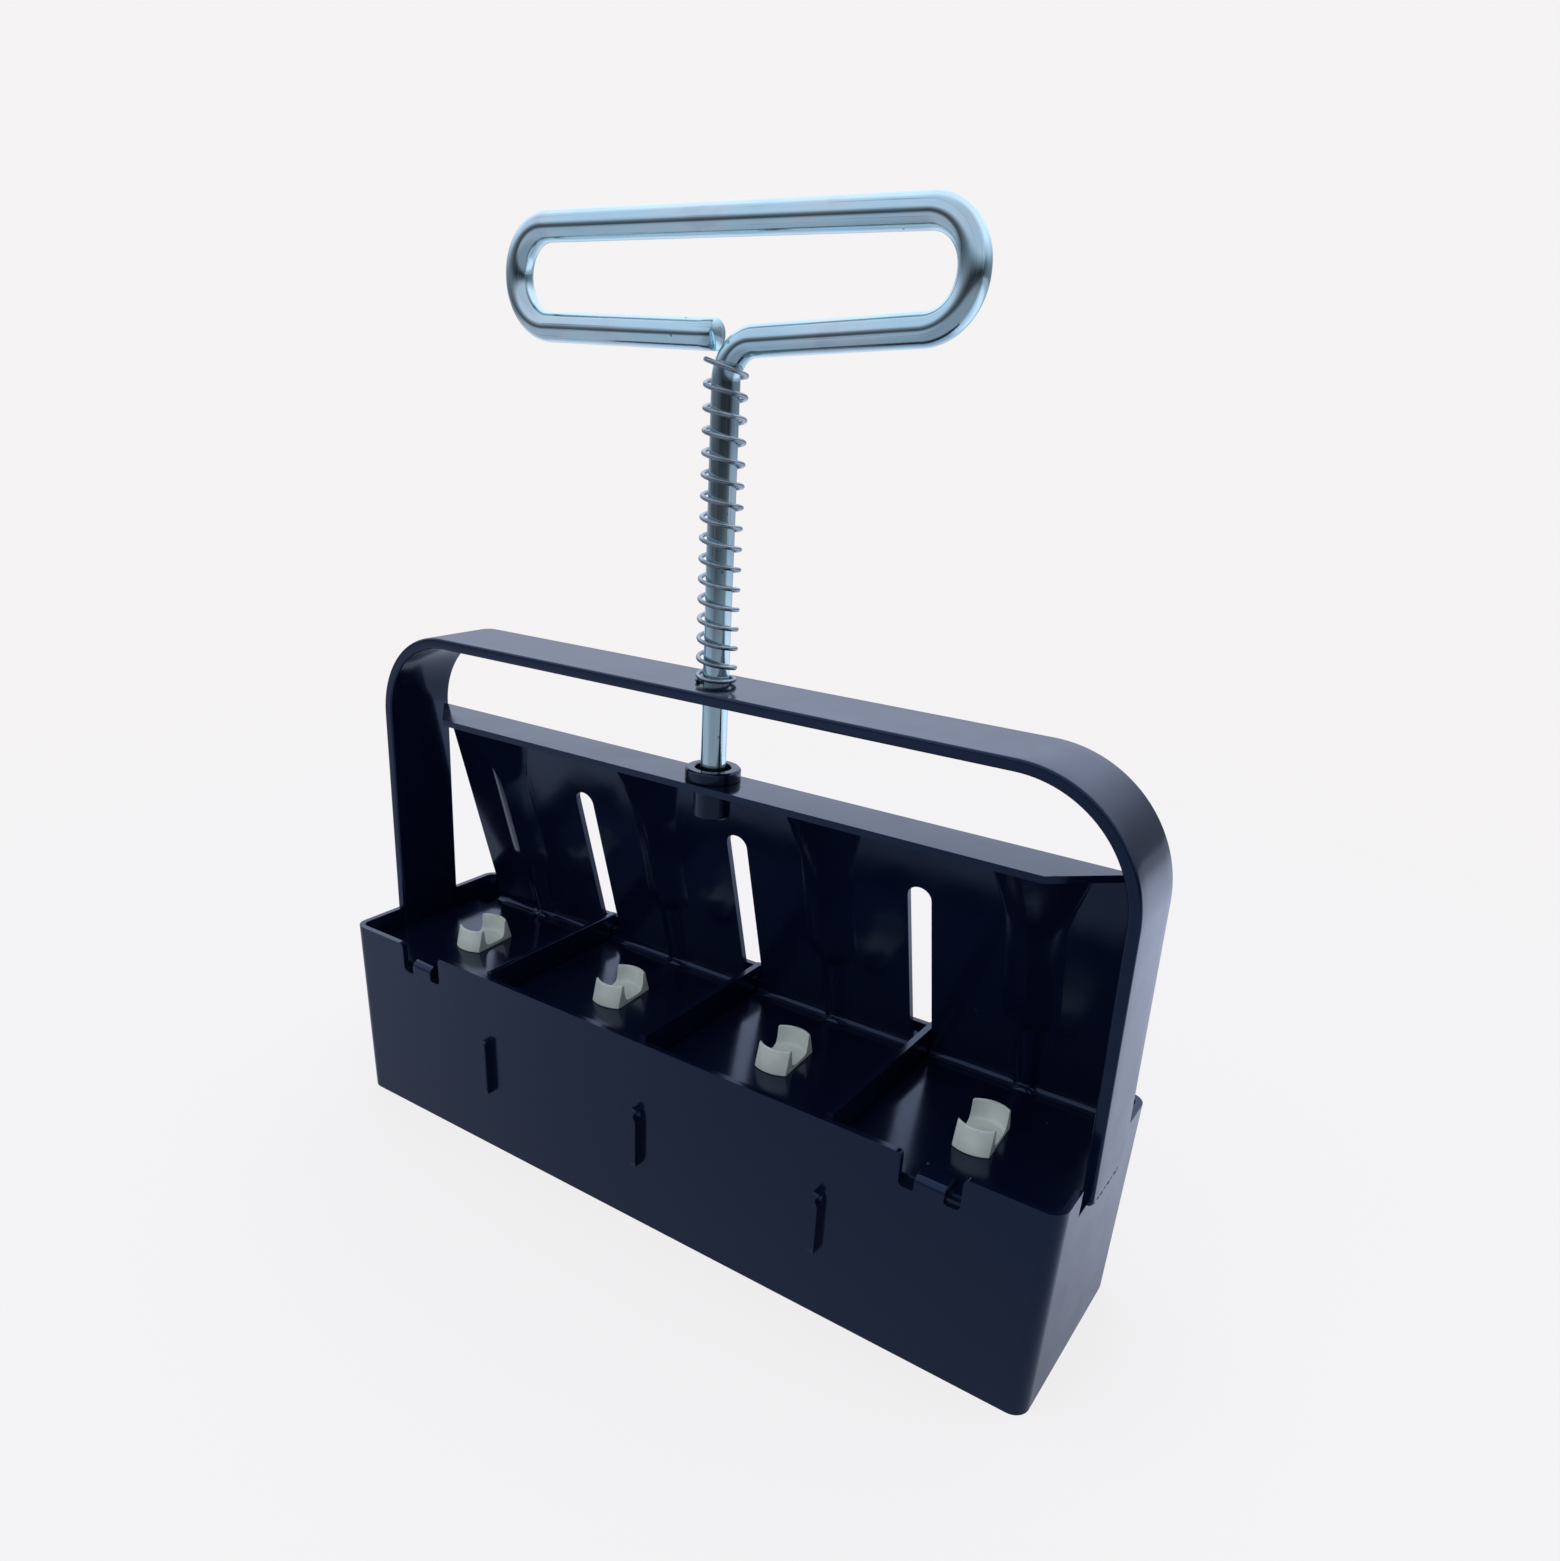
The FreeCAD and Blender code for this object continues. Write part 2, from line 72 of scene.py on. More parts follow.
# ================================================================ shapes
def bent_line(points, radii):
    """Straight runs joined by tangent arcs.

    Each inner point p is replaced by an arc of its radius r that starts r / tan(h) before p and ends as far
    after it, where h is half the angle between the two runs.  Returns the total length, the lengths at which
    runs and arcs meet, and a function that turns an array of lengths into points and directions."""
    points = [np.array(p, float) for p in points]
    pieces, last, travelled = [], points[0], 0.0

    def straight(to):
        nonlocal travelled, last
        size = np.linalg.norm(to - last)
        if size > 1e-9:
            pieces.append((travelled, last, (to - last) / size, None, 0.0))
            travelled += size
        last = to

    for before, p, after, r in zip(points, points[1:], points[2:], radii):
        u = (before - p) / np.linalg.norm(before - p)
        w = (after - p) / np.linalg.norm(after - p)
        half = math.acos(np.clip(u @ w, -1, 1)) / 2
        middle = (u + w) / np.linalg.norm(u + w)
        centre = p + middle * (r / math.sin(half))
        start = p + u * (r / math.tan(half))
        straight(start)
        turn = math.pi - 2 * half
        pieces.append((travelled, centre, (start - centre) / r, -u, r))
        travelled += r * turn
        last = p + w * (r / math.tan(half))
    straight(points[-1])

    def along(lengths):
        lengths = np.asarray(lengths, float)
        place = np.zeros(lengths.shape + (3,))
        heading = np.zeros_like(place)
        for n, (begin, base, first, second, r) in enumerate(pieces):
            here = lengths >= begin - 1e-9 if n else np.ones(lengths.shape, bool)
            t = (lengths - begin)[..., None]
            if second is None:
                p, d = base + first * t, first + 0 * t
            else:
                a = t / r
                p = base + r * (np.cos(a) * first + np.sin(a) * second)
                d = np.cos(a) * second - np.sin(a) * first
            place = np.where(here[..., None], p, place)
            heading = np.where(here[..., None], d, heading)
        return place, heading

    meets = [piece[0] for piece in pieces] + [travelled]
    return travelled, meets, along


def fold_lines(meets, radii, flat_step, turn_step=7.5):
    """Lattice lines for a bent sheet: close together round each arc, flat_step apart on the straight runs."""
    lines = []
    for a, b, r in zip(meets, meets[1:], radii):
        step = flat_step if r is None else r * math.radians(turn_step)
        lines.append(np.linspace(a, b, max(1, int(math.ceil((b - a) / step))) + 1))
    return np.unique(np.round(np.concatenate(lines), 5))


def inside(loops, p):
    """True where a ray from the point to the right crosses the loops an odd number of times."""
    odd = np.zeros(len(p), bool)
    for loop in loops:
        a, b = loop, np.roll(loop, -1, 0)
        for (ax, ay), (bx, by) in zip(a, b):
            if ay != by:
                hit = (ay > p[:, 1]) != (by > p[:, 1])
                x = ax + (p[:, 1] - ay) / (by - ay) * (bx - ax)
                odd ^= hit & (p[:, 0] < x)
    return odd


def clear_of(loops, p, gap):
    """True where a point is at least gap from every edge of the loops."""
    far = np.ones(len(p), bool)
    for loop in loops:
        for a, b in zip(loop, np.roll(loop, -1, 0)):
            d = b - a
            t = np.clip(((p - a) @ d) / max(d @ d, 1e-12), 0, 1)
            far &= np.linalg.norm(p - a - t[:, None] * d, axis=1) > gap
    return far


def split_edges(loop, lines_p, lines_q, least=0.12):
    """Adds a point to a loop wherever one of its edges crosses a lattice line."""
    out = []
    for a, b in zip(loop, np.roll(loop, -1, 0)):
        d = b - a
        cuts = [0.0]
        for axis, lines in ((0, lines_p), (1, lines_q)):
            if abs(d[axis]) > 1e-9:
                t = (lines - a[axis]) / d[axis]
                cuts.extend(t[(t > 0) & (t < 1)])
        length = np.linalg.norm(d)
        kept = [0.0]
        for t in sorted(cuts):
            if (t - kept[-1]) * length > least and (1 - t) * length > least:
                kept.append(t)
        out.append(a + np.array(kept)[:, None] * d)
    return np.concatenate(out)


def finish_mesh(name, verts, faces):
    """Puts points in millimetres and faces into a smooth-shaded mesh object at the origin."""
    mesh = bpy.data.meshes.new(name)
    faces = faces.tolist() if isinstance(faces, np.ndarray) else faces
    mesh.from_pydata((np.asarray(verts) * MM).tolist(), [], faces)
    mesh.validate()
    mesh.polygons.foreach_set("use_smooth", np.ones(len(mesh.polygons), bool))
    piece = bpy.data.objects.new(name, mesh)
    bpy.context.scene.collection.objects.link(piece)
    return piece


def merge_points(mesh, distance, outward=False):
    """Joins the points that lie within distance of each other, and turns all faces outwards where asked."""
    bm = bmesh.new()
    bm.from_mesh(mesh)
    bmesh.ops.remove_doubles(bm, verts=bm.verts, dist=distance * MM)
    if outward:
        bmesh.ops.recalc_face_normals(bm, faces=bm.faces)
    bm.to_mesh(mesh)
    bm.free()


def cut_sheet(name, loops, lines_p, lines_q, fold, thick, rim, weld_seam=False):
    """A piece of sheet cut out flat and then folded.

    The first loop is the outline of the flat pattern, in p and q, and the others are the rims of its holes.
    The rims become edges of the mesh, but the triangles close the holes over.  The pattern is filled on a
    lattice of p and q lines, and fold turns (p, q) into a point of the sheet's outer side.  The inner side
    lies thick below it, and the cut rims are rounded by rim."""
    loops = [split_edges(np.array(loop, float), lines_p, lines_q) for loop in loops]
    lattice = np.stack(np.meshgrid(lines_p, lines_q, indexing="ij"), -1).reshape(-1, 2)
    lattice = lattice[inside(loops, lattice)]
    lattice = lattice[clear_of(loops, lattice, 0.3)]
    edges, first = [], 0
    for loop in loops:
        index = np.arange(first, first + len(loop))
        edges.extend(zip(index.tolist(), np.roll(index, -1).tolist()))
        first += len(loop)
    flat = np.concatenate(loops + [lattice])
    points, _, faces, *_ = delaunay_2d_cdt([Vector(p) for p in flat], edges, [], 2, 1e-5)
    points = np.array([tuple(p) for p in points])
    faces = np.array([f for f in faces if len(f) == 3])
    a, b, c = (points[faces[:, k]] for k in range(3))
    turn = (b[:, 0] - a[:, 0]) * (c[:, 1] - a[:, 1]) - (b[:, 1] - a[:, 1]) * (c[:, 0] - a[:, 0])
    faces[turn < 0] = faces[turn < 0][:, ::-1]
    piece = finish_mesh(name, fold(points[:, 0], points[:, 1]), faces)
    if weld_seam:
        merge_points(piece.data, 0.02)
    wall = piece.modifiers.new("wall", "SOLIDIFY")
    wall.thickness = thick * MM
    wall.offset = -1
    wall.use_even_offset = True
    round_rims(piece, rim)
    return piece


def round_rims(piece, rim, angle=38, segments=3):
    """Rounds the sharp edges and lets the large faces keep their own normals."""
    bevel = piece.modifiers.new("rims", "BEVEL")
    bevel.width = rim * MM
    bevel.segments = segments
    bevel.limit_method = "ANGLE"
    bevel.angle_limit = math.radians(angle)
    even = piece.modifiers.new("shading", "WEIGHTED_NORMAL")
    even.weight = 60
    even.keep_sharp = False


def grid_faces(rows, columns, close_rows=False, close_columns=False):
    """Quads of a grid of points numbered row by row, joined round where asked."""
    i = np.arange(rows if close_rows else rows - 1)
    j = np.arange(columns if close_columns else columns - 1)
    i, j = (x.ravel() for x in np.meshgrid(i, j, indexing="ij"))
    i2, j2 = (i + 1) % rows, (j + 1) % columns
    return np.stack([i * columns + j, i * columns + j2, i2 * columns + j2, i2 * columns + j], 1)


def lathe(profile, turns=64):
    """Points and faces of a closed profile of (radius, height) carried once round the Z axis."""
    profile = np.array(profile, float)
    angle = np.linspace(0, 2 * np.pi, turns, endpoint=False)
    r, z = profile[:, 0][:, None], profile[:, 1][:, None] + 0 * angle
    verts = np.stack([r * np.cos(angle), r * np.sin(angle), z], -1).reshape(-1, 3)
    return verts, grid_faces(len(profile), turns, close_rows=True, close_columns=True)


def round_bar(name, centre, across, beside, radius, around):
    """A round bar: at each point of the centre line a circle of that point's radius, in the plane of the
    directions across and beside.  Both ends close on a point."""
    angle = np.linspace(0, 2 * np.pi, around, endpoint=False)
    cos, sin = np.cos(angle)[None, :, None], np.sin(angle)[None, :, None]
    ring = cos * across[:, None, :] + sin * beside[:, None, :]
    radius = np.broadcast_to(radius, (len(centre),))
    verts = (centre[:, None, :] + radius[:, None, None] * ring).reshape(-1, 3)
    faces = grid_faces(len(centre), around, close_columns=True)[:, ::-1]
    k = np.arange(around)
    after = np.roll(k, -1)
    tail = (len(centre) - 1) * around
    caps = [np.stack([k, after, 0 * k + len(verts)], 1),
            np.stack([tail + after, tail + k, 0 * k + len(verts) + 1], 1)]
    verts = np.concatenate([verts, centre[:1], centre[-1:]])
    return finish_mesh(name, verts, faces.tolist() + np.concatenate(caps).tolist())


def tube(name, along, stations, radius, around, side):
    """A round bar along a path, whose circles share the fixed direction side, so the path lies square to it.
    The UV map holds the length along the bar and the length round it, in millimetres."""
    place, heading = along(stations)
    side = np.array(side, float)
    sides = np.broadcast_to(side, heading.shape)
    piece = round_bar(name, place, np.cross(side, heading), sides, radius, around)
    length_uv(piece, stations, around, float(np.max(radius)))
    return piece


def length_uv(piece, stations, around, radius):
    """UV map in mm: u along the bar and v round it.  Faces at the seam run on past the last column."""
    mesh = piece.data
    layer = mesh.uv_layers.new(name="length")
    index = np.zeros(len(mesh.loops), int)
    mesh.loops.foreach_get("vertex_index", index)
    starts = np.zeros(len(mesh.polygons), int)
    totals = np.zeros(len(mesh.polygons), int)
    mesh.polygons.foreach_get("loop_start", starts)
    mesh.polygons.foreach_get("loop_total", totals)
    limit = len(stations) * around
    row = np.minimum(index // around, len(stations) - 1)
    column = (index % around).astype(float)
    column[index >= limit] = 0
    face = np.repeat(np.arange(len(totals)), totals)
    widest = np.maximum.reduceat(column, starts)[face]
    column[(column == 0) & (widest > around / 2)] = around
    uv = np.stack([stations[row], column / around * 2 * np.pi * radius], -1)
    layer.data.foreach_set("uv", uv.astype(np.float32).ravel())


# ================================================================ flat patterns
def arc_points(cx, cy, r, a0, a1, n=6):
    """Points on a circle from angle a0 to a1, in degrees."""
    a = np.radians(np.linspace(a0, a1, n + 1))
    return [(cx + r * math.cos(t), cy + r * math.sin(t)) for t in a]


def round_hole(cx, cy, r):
    """Rim of a round hole: twenty-four points."""
    return arc_points(cx, cy, r, 0, 360 - 15, 23)


def make_mould_box():
    """A band folded round four corners: p runs round the outside from the rear wall, q is the height.

    The stop tabs stand in their notches and bend inwards: past the bend line q runs round an arc and then
    straight in."""
    start_x = CELLS[2]                             # the seam is in the middle of a cell
    straight_x, straight_y = HALF_X - BOX_CORNER, HALF_Y - BOX_CORNER
    quarter = BOX_CORNER * math.pi / 2
    corners = [(start_x, HALF_Y, 0), (-HALF_X, HALF_Y, 0), (-HALF_X, -HALF_Y, 0), (HALF_X, -HALF_Y, 0),
               (HALF_X, HALF_Y, 0), (start_x, HALF_Y, 0)]
    total, _, along = bent_line(corners, [BOX_CORNER] * 4)
    left = start_x + straight_x + quarter          # start of the left end wall
    front = left + 2 * straight_y + quarter        # start of the front wall
    right = front + 2 * straight_x + quarter
    rear = right + 2 * straight_y + quarter

    def at_front(x):
        return front + straight_x + x

    tab_half, notch_half, relief, bend_line = 3.5, 7.1, 45.4, 47.4
    tab_out, tab_reach, tab_inset = 2.0, 4.6, 0.9  # outside radius of the bend, flat length past it
    notch_r, relief_r, root_r, tab_r = 1.3, 1.2, 0.5, 1.0
    foot_half, foot_open = 10.6, 15.6              # end-wall notches: to the foot's edge, and open in front
    tabs = (at_front(CELLS[3] - tab_inset), at_front(CELLS[0] + tab_inset))
    tab_top = bend_line + tab_out * math.pi / 2 + tab_reach

    def end_notch(middle, before):
        return [(middle + foot_half, BOX_TOP), (middle + foot_half, SEAT), (middle - before, SEAT),
                (middle - before, BOX_TOP)]

    def outline():
        loop = [(0, 0), (total, 0), (total, BOX_TOP)]
        # right end wall: the notch of the arch foot, open in front of the foot
        loop += end_notch(right + straight_y, foot_open)
        for c in tabs:
            loop += arc_points(c + notch_half + notch_r, BOX_TOP - notch_r, notch_r, 90, 180, 5)
            loop += arc_points(c + notch_half - relief_r, relief + relief_r, relief_r, 0, -90, 5)
            loop += arc_points(c + tab_half + root_r, relief + root_r, root_r, -90, -180, 3)
            loop += arc_points(c + tab_half - tab_r, tab_top - tab_r, tab_r, 0, 90, 4)
            loop += arc_points(c - tab_half + tab_r, tab_top - tab_r, tab_r, 90, 180, 4)
            loop += arc_points(c - tab_half - root_r, relief + root_r, root_r, 0, -90, 3)
            loop += arc_points(c - notch_half + relief_r, relief + relief_r, relief_r, -90, -180, 5)
            loop += arc_points(c - notch_half - notch_r, BOX_TOP - notch_r, notch_r, 0, 90, 5)
        return loop + end_notch(left + straight_y, foot_half) + [(0, BOX_TOP)]

    loops = [outline()]
    for x in DIVIDERS:
        rear_p = start_x - x if x < start_x else total - (x - start_x)
        for c in (at_front(x), rear_p):
            loops.append(arc_points(c, SLOT_HIGH - SLOT_HALF, SLOT_HALF, 0, 180, 6)
                         + [(c - SLOT_HALF, SLOT_LOW), (c + SLOT_HALF, SLOT_LOW)])

    def fold(p, q):
        place, heading = along(p)
        out = np.stack([heading[:, 1], -heading[:, 0], 0 * p], -1)
        place[:, 2] = q
        past = np.maximum(q - bend_line, 0)
        tab = np.zeros(len(p), bool)
        for c in tabs:
            tab |= np.abs(p - c) < tab_half + 0.01
        turn = np.clip(past / tab_out, 0, np.pi / 2)
        inward = tab_out * (1 - np.cos(turn)) + np.maximum(past - tab_out * np.pi / 2, 0)
        rise = bend_line + tab_out * np.sin(turn)
        bent = tab & (past > 0)
        place = np.where(bent[:, None], place - out * inward[:, None], place)
        place[:, 2] = np.where(bent, rise, q)
        return place

    arcs = [np.linspace(a, a + quarter, 13) for a in (left - quarter, front - quarter, right - quarter,
                                                      rear - quarter)]
    lines_p = np.unique(np.round(np.concatenate([np.arange(0, total, 6.5), [total]] + arcs), 4))
    bend = bend_line + tab_out * np.radians(np.arange(0, 91, 11.25))
    lines_q = np.unique(np.round(np.concatenate([np.arange(0, BOX_TOP, 6.7), [BOX_TOP], bend]), 4))
    return cut_sheet("box_shell", loops, lines_p, lines_q, fold, SHEET, 0.3, weld_seam=True)


def make_divider(number, x):
    """A flat plate with a tab through each long wall: p is Y, q is the height.  Plates 2 and 3 are staked: a
    punch mark, a bell curve of the height, pushes the front tab sideways near its top."""
    half_in, out, top, tab_top = 25.4, 29.2, 54.8, 35.2
    mark_deep, mark_z, mark_half, mark_from, mark_blend = 0.75, 33.6, 0.9, 27.1, 0.7
    right = [(half_in, SLOT_LOW)] + arc_points(out - 0.9, SLOT_LOW + 0.9, 0.9, -90, 0, 4)
    right += arc_points(out - 0.9, tab_top - 0.9, 0.9, 0, 90, 4) + [(half_in, tab_top), (half_in, top)]
    loop = [(-half_in, 0), (half_in, 0)] + right + [(-p, q) for p, q in reversed(right)]

    def fold(p, q):
        mark = mark_deep * np.exp(-((q - mark_z) / mark_half) ** 2)
        mark *= np.clip((-p - mark_from) / mark_blend, 0, 1) * (number > 1)
        return np.stack([0 * p + x + SHEET / 2 - mark, p, q], -1)

    lines_p = np.concatenate([[-28.6, -28.1, -27.6, -27.1], np.linspace(-26, out - 1, 10)])
    lines_q = np.concatenate([np.linspace(0, 30, 7), np.arange(31.6, 35.1, 0.45), np.linspace(40, top, 4)])
    return cut_sheet("divider_plate_%d" % number, [loop], lines_p, lines_q, fold, SHEET, 0.25)


def make_arch():
    """A flat bar bent into an upside-down U: p runs over the top from foot to foot, q across the bar."""
    foot_x, top_x, left, right, half = 106.8, 103.6, 24.5, 28.5, 10.3
    total, meets, along = bent_line([(-foot_x, 0, SEAT), (-top_x, 0, ARCH_TOP), (top_x, 0, ARCH_TOP),
                                     (foot_x, 0, SEAT)], [left, right])
    loop = [(0, -half), (total, -half), (total, half), (0, half)]
    middle = meets[2] - along(np.array([meets[2]]))[0][0, 0]
    hole = round_hole(middle, 0, 3.08)

    def fold(p, q):
        place, _ = along(p)
        place[:, 1] = q
        return place

    lines_p = fold_lines(meets, [None, left, None, right, None], 6.0, turn_step=3.0)
    return cut_sheet("arch_strap", [loop, hole], lines_p, np.linspace(-half, half, 6), fold, 2.7, 0.6)


def make_ejector():
    """One pressed sheet: flange, leaning web and a row of feet.  p is X, q runs from the flange's front edge
    over the top bend, down the rear of the web, round the heel and forward under the feet.

    Each rib pushes the web forward by crest * (1 - d) ** 1.4, where d is the distance from the rib's middle
    line over its half width.  The rib starts softly above its tip.  Above the turn the pattern is stretched
    sideways, so that the rib spreads, and its crest leans forward to meet the flange.  Below the tip a narrow
    bead, a bell curve across, runs on round the heel."""
    lean, heel_r, top_r = math.radians(14.942025), 3.6, 3.2
    y_low = 7.6 + math.tan(lean) * (FLANGE_TOP - FOOT_UNDER)
    total, meets, along = bent_line([(0, -7.5, FLANGE_TOP), (0, 7.6, FLANGE_TOP), (0, y_low, FOOT_UNDER),
                                     (0, -24.9, FOOT_UNDER)], [top_r, heel_r])
    web_start, foot_start = meets[2], meets[4]

    def on_web(z):
        """Length along the path at which the rear of the web is at height z."""
        top = along(np.array([web_start]))[0][0, 2]
        return web_start + (top - z) / math.cos(lean)

    def on_foot(y):
        start = along(np.array([foot_start]))[0][0, 1]
        return foot_start + start - y

    web_half, cut, feet_half, corner = 97.9, 13.6, 103.4, 2.4
    gap, slot_r, lean_in, widest_corner, hole_r = 1.3, 3.0, 1.6, 2.4, 4.4
    slot_top = on_web(96.5 - slot_r)
    slot_end = on_web(51.25)
    corner_turn = np.radians(np.linspace(0, 90, 7))
    step = on_foot(17.0)                           # the feet are full width in front of this depth

    def side(s):
        """Outline from the flange corner down to the front corner of the feet on one side."""
        run = [(s * (web_half - cut), 0), (s * web_half, meets[1]), (s * web_half, step),
               (s * feet_half, step)]
        run += [(s * (feet_half - corner + corner * math.cos(t)), total - corner + corner * math.sin(t))
                for t in np.radians(np.linspace(0, 90, 9))]
        return run

    loop = side(1)
    for x in reversed(DIVIDERS):
        near = x - math.copysign(lean_in, x) if abs(x) > 1 else x
        loop += [(x + gap, total), (x + gap, slot_end)]
        c = min(near + slot_r - x - gap, widest_corner)
        if c > 0.2:
            loop += [(near + slot_r - c + c * math.sin(t), slot_end - c + c * math.cos(t))
                     for t in corner_turn]
        loop += [(near + slot_r * math.cos(t), slot_top - slot_r * math.sin(t))
                 for t in np.radians(np.linspace(0, 180, 17))]
        c = min(x - gap - near + slot_r, widest_corner)
        if c > 0.2:
            loop += [(near - slot_r + c - c * math.sin(t), slot_end - c + c * math.cos(t))
                     for t in corner_turn[::-1]]
        loop += [(x - gap, slot_end), (x - gap, total)]
    loop += side(-1)[::-1]
    loops = [loop]
    for x in CELLS:
        loops.append(round_hole(x, on_foot(PIN_Y), hole_r))
    loops.append(round_hole(0.0, 7.5, hole_r))

    crest, tip, turn = 3.3, 66.4, 96.1             # depth of a rib, its lower end, where it leans out
    rib_half, web_edge = 7.0, 19.3                 # half width of a rib, middle of the rib to a slot
    widening, leaning, blend = 0.34, 0.40, 3.0     # mm for each mm above the turn; blend softens the turn
    bead_high, bead_half = 1.5, 1.9
    close = along(np.array([web_start]))[0][0, 2]

    def fold(p, q):
        place, heading = along(q)
        out = np.stack([0 * p, -heading[:, 2], heading[:, 1]], -1)
        z = place[:, 2]
        nearest = np.array(CELLS)[np.argmin(np.abs(p[:, None] - np.array(CELLS)), axis=1)]
        off = np.abs(p - nearest)
        up = (z - turn + np.sqrt((z - turn) ** 2 + blend ** 2)) / 2
        spread = widening * np.maximum(up - blend / 2, 0)
        spread *= np.clip((q - meets[1]) / (meets[2] - meets[1]), 0, 1)
        wide = np.clip(np.minimum(off / rib_half, (web_edge - off) / (web_edge - rib_half)), 0, 1)
        place[:, 0] = p + np.sign(p - nearest) * spread * wide
        ridge = np.clip(1 - off / rib_half, 0, 1) ** 1.4
        start = np.clip((z - tip) / 5.0, 0, 1)
        under = np.clip((close - z) / 0.3, 0, 1)
        proud = crest * ridge * start * start * (3 - 2 * start) * under
        ahead = leaning * up * ridge * under
        low = np.clip((tip + 6 - z) / 6, 0, 1) * np.clip((foot_start + 1 - q) / 2, 0, 1) * (q > web_start)
        bead = bead_high * np.exp(-(off / bead_half) ** 2) * low
        place -= out * (proud + bead)[:, None]
        place[:, 1] -= ahead
        return place

    across = np.array([0, 0.6, 1.3, 2.0, 3.0, 4.0, 5.0, 6.0, 6.6, 7.0, 7.5, 8.5, 10.0, 12.0, 15.0])
    ribs = [x + np.concatenate([-across, across]) for x in CELLS]
    lines_p = np.unique(np.round(np.concatenate(ribs + [np.arange(-103, 103.1, 5.0)]), 4))
    lines_q = fold_lines(meets, [None, top_r, None, heel_r, None], 2.5)
    lines_q = lines_q[(lines_q < foot_start + 0.1) | (np.arange(len(lines_q)) % 3 == 0)]
    close_up = on_web(np.array([66.4, 67.6, 96.1, 97.2, 98.5, 100.0, 104.5, 106.5, 108.0, 109.2,
                                close - 0.3, close - 0.15]))
    far = np.min(np.abs(lines_q[:, None] - close_up), axis=1) > 0.35
    lines_q = np.unique(np.concatenate([lines_q[far], close_up]))
    return cut_sheet("ejector_pressing", loops, lines_p, lines_q, fold, SHEET, 0.3)


# ================================================================ turned, bent and wound pieces
def make_hub():
    """Flanged bush: thin rim with a chamfer, wide mouth, and the shank below the ejector's flange."""
    top, low, bore, shank, flange, mouth = 116.1, 104.1, 3.0, 4.4, 6.6, 4.2
    profile = [(bore, low + 0.3), (bore + 0.3, low), (shank - 0.4, low), (shank, low + 0.4),
               (shank, FLANGE_TOP), (flange - 0.15, FLANGE_TOP), (flange, FLANGE_TOP + 0.15),
               (flange, top - 0.5), (flange - 0.5, top), (mouth + 0.25, top), (mouth, top - 0.25),
               (mouth, top - 1.7), (mouth - 0.3, top - 2.0), (bore + 0.3, top - 2.0), (bore, top - 2.3)]
    hub = finish_mesh("hub_bush", *lathe(profile, 72))
    round_rims(hub, 0.08, angle=30, segments=1)
    return hub


def grip_path():
    """Centre line of the rod: up through the hub, out to the right, over the top and back to the cut end."""
    return bent_line([(0, 0, 104.5), (0, 0, 203.9), (52.0, 0, 206.7), (52.0, 0, 224.4), (-57.0, 0, 225.7),
                      (-57.0, 0, 206.9), (-2.4, 0, 205.3)], [7.5, 9.0, 9.0, 9.3, 9.3])


def make_rod():
    rod_r, chamfer = 3.0, 0.3
    total, meets, along = grip_path()
    stations = [np.array([0.0, 0.45])]
    for n, (a, b) in enumerate(zip(meets, meets[1:])):
        stations.append(np.linspace(a, b, 26) if n % 2 else np.linspace(a, b, max(3, int((b - a) / 3))))
    stations.append(np.array([total - chamfer, total]))
    s = np.unique(np.round(np.clip(np.concatenate(stations), 0, total), 4))
    ends = np.minimum(s, total - s)
    radius = rod_r - chamfer * np.clip(1 - ends / chamfer, 0, 1)
    return tube("grip_rod", along, s, radius, 56, (0, 1, 0))


def make_spring():
    """Round wire on a left-hand helix: the height climbs by 1.06 wires a turn in the closed turns, one at the
    bottom and a half at the top, and evenly between.  The last half turn rises by 2 mm more, as
    1 + cos(turned), to its free end, which lies away from the bend of the rod."""
    wire, coil, low, top, working, closed = 1.0, 4.2, ARCH_TOP + 0.5, 198.8, 14.5, 1.0
    steps, first_angle, lifted, window = 36, 215, 1.25, 9      # window: steps smoothed on each side
    turns = working + 1.5 * closed
    k = np.linspace(0, turns, int(turns * steps) + 1)
    flat = wire * 1.06
    rise = (top - low - 1.5 * closed * flat) / working
    z = low + np.where(k < closed, flat * k, flat * closed + rise * (k - closed))
    z = np.where(k > turns - closed / 2, top - flat * (turns - k), z)
    wide = 2 * window + 1
    padded = np.pad(z, window, mode="reflect", reflect_type="odd")
    soft = np.convolve(padded, np.ones(wide) / wide, mode="valid")
    turned = -2 * np.pi * k
    angle = turned + math.radians(first_angle)
    near_top = np.clip((k - turns + lifted) / lifted, 0, 1)
    soft = soft + near_top ** 2 * (3 - 2 * near_top) * (1 + np.cos(turned))
    centre = np.stack([coil * np.cos(angle), coil * np.sin(angle), soft], -1)
    heading = np.gradient(centre, axis=0)
    heading /= np.linalg.norm(heading, axis=1)[:, None]
    outward = np.stack([np.cos(angle), np.sin(angle), 0 * angle], -1)
    return round_bar("coil_spring", centre, outward, np.cross(heading, outward), wire / 2, 14)


